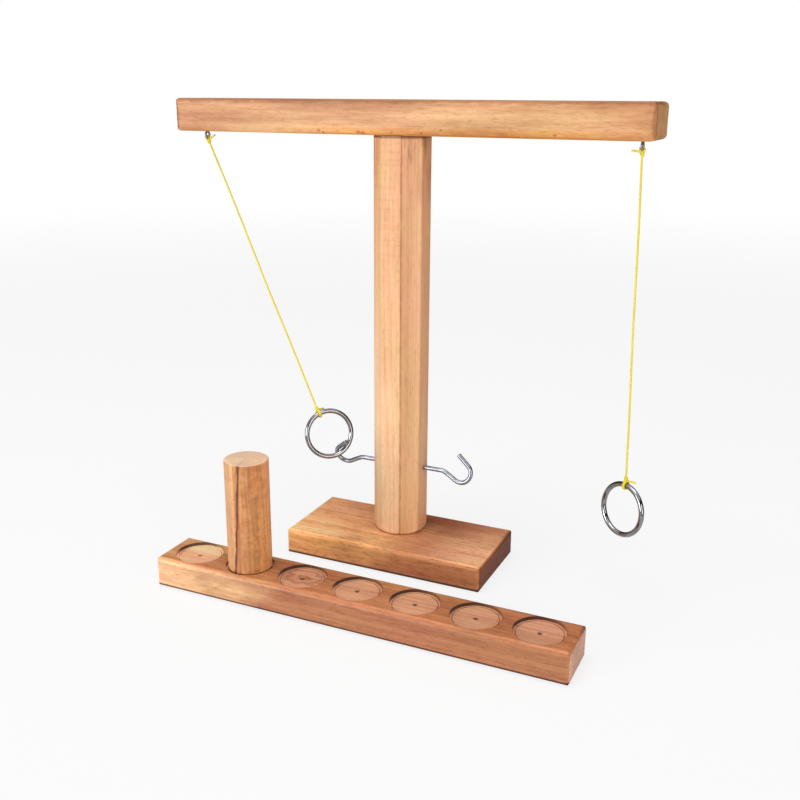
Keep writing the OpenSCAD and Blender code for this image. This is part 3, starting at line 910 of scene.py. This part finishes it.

# %% [markdown]
# ## The rail
# The rail's recesses were bored with a flat bit. Its cutters leave fine rings on each floor, and freshly cut
# wood there is paler than the oiled top. The walls are dark, partly with end grain and partly with painted
# shade, most at the back and the left, and painted shade darkens the groove at the floor's edge and the
# drill mark. All of it comes from the distance to the nearest recess's middle, one sum for all seven, with
# the rail folded to one pitch.

# %% Recess floors and walls
RECESS_PITCH = 0.040
RECESS_R = 0.016
GROOVE_R = 0.0144
FLOOR_BLEND = linear(172, 112, 74)
FRESH_LEFT, FRESH_RIGHT = (2.05, 2.65, 3.60), (1.70, 2.25, 3.20)
# the recess walls: end grain and painted shade
WALL_END_GRAIN_AND_SHADE = (0.045, 0.018, 0.010)
# the groove and drill mark tones are painted shade in those hollows
GROOVE_TONE, MARK_TONE, CUTTER_TONE = (0.50, 0.36, 0.30), (0.22, 0.13, 0.09), (0.62, 0.46, 0.36)
rail_low, rail_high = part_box("score_rail")
rail_middle = (rail_low + rail_high) / 2


def paint_recesses(tree, height, place, colour):
    """The paler floors, the walls in end grain and painted shade, the groove and drill mark in painted shade,
    and the cutter's rings.
    """
    steps = math_node(tree, "ROUND", math_node(tree, "DIVIDE", place["X"], RECESS_PITCH))
    beside = minus(tree, place["X"], times(tree, steps, RECESS_PITCH))
    folded = put(tree, "CombineXYZ", {"X": beside, "Y": place["Y"]}).outputs[0]
    out = length_of(tree, folded)
    sunk = ramp(tree, height, rail_high.z - 0.0019, rail_high.z - 0.0013, 1.0, 0.0)
    inside = times(tree, sunk, ramp(tree, out, RECESS_R, RECESS_R + 0.0004, 1.0, 0.0))
    colour = mix(tree, times(tree, inside, 0.35), colour, FLOOR_BLEND)
    fresh = mix(tree, ramp(tree, place["X"], -0.125, -0.060), FRESH_LEFT, FRESH_RIGHT)
    colour = tint(tree, colour, (inside, fresh))
    # painted shade on the walls, strongest at the back and the left
    wall = ramp(tree, size_of(tree, minus(tree, out, RECESS_R + 0.0001)), 0.0001, 0.0004, 0.92, 0.0)
    wall = times(tree, wall, ramp(tree, place["Y"], -0.008, 0.002, 0.15))
    wall = times(tree, wall, ramp(tree, beside, -0.010, 0.014, 1.0, 0.5))
    colour = mix(tree, wall, colour, WALL_END_GRAIN_AND_SHADE)
    # painted shade in the groove and in the drill mark
    groove = ramp(tree, size_of(tree, minus(tree, out, GROOVE_R)), 0.0002, 0.0007, 0.55, 0.0)
    mark = ramp(tree, out, 0.0009, 0.0021, 0.92, 0.0)
    wave = {"Vector": folded, "Scale": 210.0, "Distortion": 1.5}
    cutter = put(tree, "TexWave", wave, wave_type="RINGS", rings_direction="Z").outputs["Fac"]
    return tint(
        tree, colour,
        (times(tree, inside, groove), GROOVE_TONE),
        (times(tree, inside, mark), MARK_TONE),
        (times(tree, inside, ramp(tree, cutter, 0.50, 0.95, 0.0, 0.50)), CUTTER_TONE),
    )


print("recesses at a pitch of", RECESS_PITCH / MM, "mm")

# %% [markdown]
# The third recess was bored through a dark knot. It is painted as a few broken bands about its middle: the
# sine of a distance gives bands, and noise added to the distance breaks them.

# %% The rail
RAIL_KNOT = (-RECESS_PITCH, 0.002, 0)
RAIL_KNOT_TONE = (0.50, 0.34, 0.27)
RAIL_TOP = (1.32, 1.28, 1.14)
rail_fade = fade("score_rail", (1.98, 3.00, 3.50), 0.06, 0.36, on_top=0.35)


def paint_rail(tree, spot, colour):
    """The fade, the pale top, the recesses and the knot."""
    colour = tint(tree, rail_fade(tree, spot, colour), (up_face(tree), RAIL_TOP))
    centred = vector_math(tree, "SUBTRACT", spot, tuple(rail_middle))
    colour = paint_recesses(tree, parts_of(tree, spot)["Z"], parts_of(tree, centred), colour)
    beside = stretched(tree, vector_math(tree, "SUBTRACT", centred, RAIL_KNOT), (0.75, 1, 0))
    out = plus(tree, length_of(tree, beside), wander(tree, spot, 160.0, 0.010))
    bands = ramp(tree, math_node(tree, "SINE", times(tree, out, 900.0)), -0.4, 1.0)
    near = ramp(tree, out, 0.006, 0.015, 0.65, 0.0)
    return tint(tree, colour, (times(tree, bands, near), RAIL_KNOT_TONE))


dress("score_rail", wood(
    "rail_beech", ALONG_X, (0.06, 0.155, 0.4), (184, 125, 87), (141, 80, 52),
    spacing=0.0028, bands=0.40, clouds=0.5,
    end_tone=(1.95, 3.1, 5.0), painter=paint_rail, edges=("score_rail", *BOARD_EDGES),
))
print("rail dressed in", nodes["score_rail"].data.materials[0].name)

# %% [markdown]
# ## Streaks round an axis
# The post's middle corner carries a thin dark line. It is a band about one angle round the post's axis. The
# peg has a long mineral streak, a dark line that leans as it climbs: a band too, but its angle changes with
# height. Noise makes both thicker and thinner, and bends the peg's.

# %% Streaks
def streak(axis, radius, angles, heights, width, tone, strength, stray=0.0):
    """A painter of a band up a round or eight-sided piece, from one angle to another."""

    def paint(tree, spot, colour):
        place = parts_of(tree, spot)
        angle = math_node(tree, "ARCTAN2", minus(tree, place["Y"], axis.y), minus(tree, place["X"], axis.x))
        middle = put(tree, "MapRange", {
            "Value": place["Z"], "From Min": heights[0], "From Max": heights[1],
            "To Min": math.radians(angles[0]), "To Max": math.radians(angles[1]),
        }).outputs["Result"]
        angle = plus(tree, angle, wander(tree, spot, 70.0, stray))
        along = times(tree, size_of(tree, minus(tree, angle, middle)), radius)
        thick = times(tree, ramp(tree, noise(tree, spot, 140.0), 0.3, 0.7, 0.6, 1.5), width)
        mask = ramp(tree, math_node(tree, "DIVIDE", along, thick), 0.3, 1.0, strength, 0.0)
        return tint(tree, colour, (mask, tone))

    return paint


post_low, post_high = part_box("post")
peg_low, peg_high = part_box("score_peg")
post_axis = (post_low + post_high) / 2
peg_axis = (peg_low + peg_high) / 2
print("axes of post and peg:", post_axis.xy, peg_axis.xy)

# %% [markdown]
# ## The post
# The post was sawn so that its left sides show beech's ladder figure, short pale and dark rungs across the
# grain, while its right sides are plainer and more orange. The direction that a side faces tells them apart;
# it also paints light on the far left side and shade on the right sides, and the front is painted lighter low
# down and darker high up. Under the beam the wood is blotched, and thin painted shadow lines mark its two
# ends, under the beam and at the foot.

# %% The post
POST_CORNER_R = 0.0192
RUNG_TONE = (0.91, 0.82, 0.70)
# right sides: more orange wood and painted shade; far left side: painted light
RIGHT_SIDES, FAR_RIGHT_SIDE, FAR_LEFT_SIDE = (0.98, 0.94, 0.91), (0.94, 0.86, 0.82), (1.03, 1.08, 1.12)
# the front is painted lighter low down and darker high up, as painted light
FRONT_LOW, FRONT_HIGH = (1.04, 1.15, 1.22), (0.88, 0.81, 0.74)
# the tones for the two ends are painted shadow, under the beam and at the post's foot
BLOTCH_TONE, BEAM_SHADOW_TONE, FOOT_TONE = (0.58, 0.52, 0.46), (0.30, 0.17, 0.10), (0.42, 0.26, 0.17)
corner_line = streak(post_axis, POST_CORNER_R, (-67.5, -67.5), (0, 1), 0.0008, (0.62, 0.50, 0.42), 0.8)


def paint_post(tree, spot, colour):
    """The ladder figure, each side's tone with painted light and shade, the blotches, painted shadow at the
    two ends and the corner line.
    """
    facing = facing_of(tree)["X"]
    height = parts_of(tree, spot)["Z"]
    rungs = ramp(tree, noise(tree, stretched(tree, spot, (0.6, 0.6, 7)), 75.0, 3.0, 0.6), 0.48, 0.66)
    patches = ramp(tree, noise(tree, stretched(tree, spot, (1, 1, 0.4)), 55.0), 0.42, 0.62)
    on_left = ramp(tree, facing, 0.1, 0.5, 0.75, 0.12)
    high_up = ramp(tree, height, 0.06, 0.20, 0.40, 0.85)
    right = ramp(tree, facing, 0.2, 0.65)
    front_tone = mix(tree, ramp(tree, height, 0.08, 0.27), FRONT_LOW, FRONT_HIGH)
    blotch = ramp(tree, noise(tree, stretched(tree, spot, (1, 1, 0.35)), 110.0, 3.0), 0.42, 0.62)
    under_beam = ramp(tree, height, post_high.z - 0.060, post_high.z - 0.005, 0.0, 0.7)
    colour = tint(
        tree, colour,
        (times(tree, rungs, patches, on_left, high_up), RUNG_TONE),
        # painted shade on the right sides, painted light on the far left, and the front lighter low down
        (right, RIGHT_SIDES),
        (ramp(tree, facing, 0.80, 0.95), FAR_RIGHT_SIDE),
        (ramp(tree, facing, -0.60, -0.30, 0.9, 0.0), FAR_LEFT_SIDE),
        (times(tree, minus(tree, 1.0, right), 0.9), front_tone),
        (times(tree, under_beam, right, blotch), BLOTCH_TONE),
        # painted shadow under the beam and at the foot
        (ramp(tree, height, post_high.z - 0.0024, post_high.z - 0.0010, 0.0, 0.9), BEAM_SHADOW_TONE),
        (ramp(tree, height, post_low.z + 0.0005, post_low.z + 0.0016, 0.8, 0.0), FOOT_TONE),
    )
    return corner_line(tree, spot, colour)


dress("post", wood(
    "post_beech", ALONG_Z, (0.05, 0.06, 0.0), (244, 196, 150), (212, 152, 106),
    spacing=0.0022, bands=0.3, clouds=0.35, flecks=0.32, painter=paint_post,
))
print("post dressed, with a top at", round(post_high.z / MM, 1), "mm")

# %% [markdown]
# ## The peg
# The peg is mottled brown in front, where a band of painted shade runs down it, and paler on both sides with
# painted light, a painted highlight on the left. It has the mineral streak and a thin flushed line beside it.
# All of these but the mottling are bands, so the streak's painter makes them too. Its foot has painted shadow
# where it stands in the recess, and its top is end grain, sanded pale. The dowels are hidden plain beech.

# %% The peg and the dowels
PEG_R = 0.0145
# the bands at -120 and -6 degrees are painted light on the sides, the one at -52 is painted shade on the
# front
PEG_BANDS = [
    (-120, 0.0132, (1.34, 1.66, 1.95), 0.9),
    (-88, 0.0021, (0.84, 0.64, 0.62), 0.8),
    (-52, 0.0130, (0.88, 0.80, 0.68), 0.8),
    (-6, 0.0110, (1.46, 1.50, 1.40), 0.9),
]
STREAK_TONE = (0.24, 0.15, 0.13)
# the peg's foot tone is painted shadow
MOTTLE_TONE, PEG_FOOT_SHADOW, PEG_TOP = (0.80, 0.68, 0.54), (0.34, 0.21, 0.15), (0.88, 0.61, 0.43)
mineral_streak = streak(peg_axis, PEG_R, (-98, -77), (peg_low.z, peg_high.z), 0.0011, STREAK_TONE, 0.92, 0.16)


def paint_peg(tree, spot, colour):
    """Sides in painted light, a mottled front with painted shade, a flushed line, the mineral streak, the
    foot's painted shadow and the top.
    """
    for angle, width, tone, strength in PEG_BANDS:
        band = streak(peg_axis, PEG_R, (angle, angle), (0, 1), width, tone, strength, 0.15)
        colour = band(tree, spot, colour)
    mottle = noise(tree, stretched(tree, spot, (1, 1, 2.2)), 120.0, 3.0, 0.6)
    colour = tint(tree, colour, (ramp(tree, mottle, 0.48, 0.66, 0.0, 0.45), MOTTLE_TONE))
    height = parts_of(tree, spot)["Z"]
    # painted shadow round the foot, in the gap to the recess
    foot = ramp(tree, height, rail_high.z - 0.0006, rail_high.z + 0.0004, 0.85, 0.0)
    colour = tint(tree, mineral_streak(tree, spot, colour), (foot, PEG_FOOT_SHADOW))
    return mix(tree, times(tree, up_face(tree), 0.75), colour, PEG_TOP)


dress("score_peg", wood(
    "peg_beech", ALONG_Z, (0.09, 0.13, 0.3), (212, 150, 102), (168, 108, 66),
    bands=0.35, flecks=0.45, end_tone=(1.7, 2.6, 3.6), painter=paint_peg,
))
dress("beam_dowels", wood("dowel_beech", ALONG_Z, (0.02, 0.03, 0.0), (240, 200, 156), (206, 150, 104)))
print("peg dressed, with", len(PEG_BANDS), "bands up its side")

# %% [markdown]
# ## Metal
# The rings are polished chrome: almost a mirror, a little dulled in patches by handling. The hooks and screw
# eyes are zinc-plated wire, duller and a little blue. All are one material with other values: a metal is a
# colour and a roughness, and what makes it look real is that neither is quite even.

# %% Metal
def metal(name, colour, low, high, mottle):
    """Plated wire: one colour, with a roughness that varies in small patches."""
    material, tree = new_material(name)
    spot = put(tree, "TexCoord").outputs["Object"]
    patches = noise(tree, spot, mottle, 3.0)
    darker = [v * 0.78 for v in colour]
    fine = noise(tree, spot, mottle * 9)
    surface = put(tree, "BsdfPrincipled", {
        "Base Color": mix(tree, ramp(tree, patches, 0.35, 0.65), colour, darker),
        "Roughness": ramp(tree, patches, 0.3, 0.7, low, high),
        "Metallic": 1.0,
        "Normal": put(tree, "Bump", {"Height": fine, "Strength": 0.08, "Distance": 0.0001}).outputs[0],
    }).outputs[0]
    put(tree, "OutputMaterial", {"Surface": surface})
    return material


chrome = metal("ring_chrome", (0.36, 0.355, 0.37), 0.08, 0.15, 150.0)
zinc = metal("hook_zinc", (0.40, 0.43, 0.49), 0.26, 0.38, 160.0)
steel = metal("screw_steel", (0.60, 0.60, 0.58), 0.25, 0.40, 400.0)
for name in ("left_ring", "right_ring"):
    dress(name, chrome)
for name in ("left_hook", "right_hook", "left_screw_eye", "right_screw_eye"):
    dress(name, zinc)
dress("base_screws", steel)
print("metals:", chrome.name, zinc.name, steel.name)

# %% [markdown]
# ## String
# The string is bright yellow twisted nylon. The plies are in the mesh already, so the material only adds fine
# fibre, paler worn stretches and a faint sheen.

# %% String
STRING_BRIGHT, STRING_DEEP, STRING_WORN = (0.82, 0.69, 0.035), (0.72, 0.58, 0.020), (0.88, 0.80, 0.12)

nylon, tree = new_material("yellow_string")
spot = put(tree, "TexCoord").outputs["Object"]
fuzz = noise(tree, spot, 1800.0)
colour = mix(tree, ramp(tree, fuzz, 0.35, 0.65), STRING_BRIGHT, STRING_DEEP)
colour = mix(tree, ramp(tree, noise(tree, spot, 90.0), 0.45, 0.75, 0.0, 0.3), colour, STRING_WORN)
bump = put(tree, "Bump", {"Height": fuzz, "Strength": 0.12, "Distance": 0.0001}).outputs[0]
surface = put(tree, "BsdfPrincipled", {
    "Base Color": colour, "Roughness": 0.60, "Normal": bump, "Specular IOR Level": 0.2, "Sheen Weight": 0.05,
}).outputs[0]
put(tree, "OutputMaterial", {"Surface": surface})
for pieces, body in RIDES:
    for piece in pieces:
        piece.data.materials.append(nylon)
print("string on", sum(len(pieces) for pieces, body in RIDES), "pieces")

# %% [markdown]
# ## Finish
# The view is set to plain colours.

# %% View
bpy.context.scene.view_settings.view_transform = "Standard"
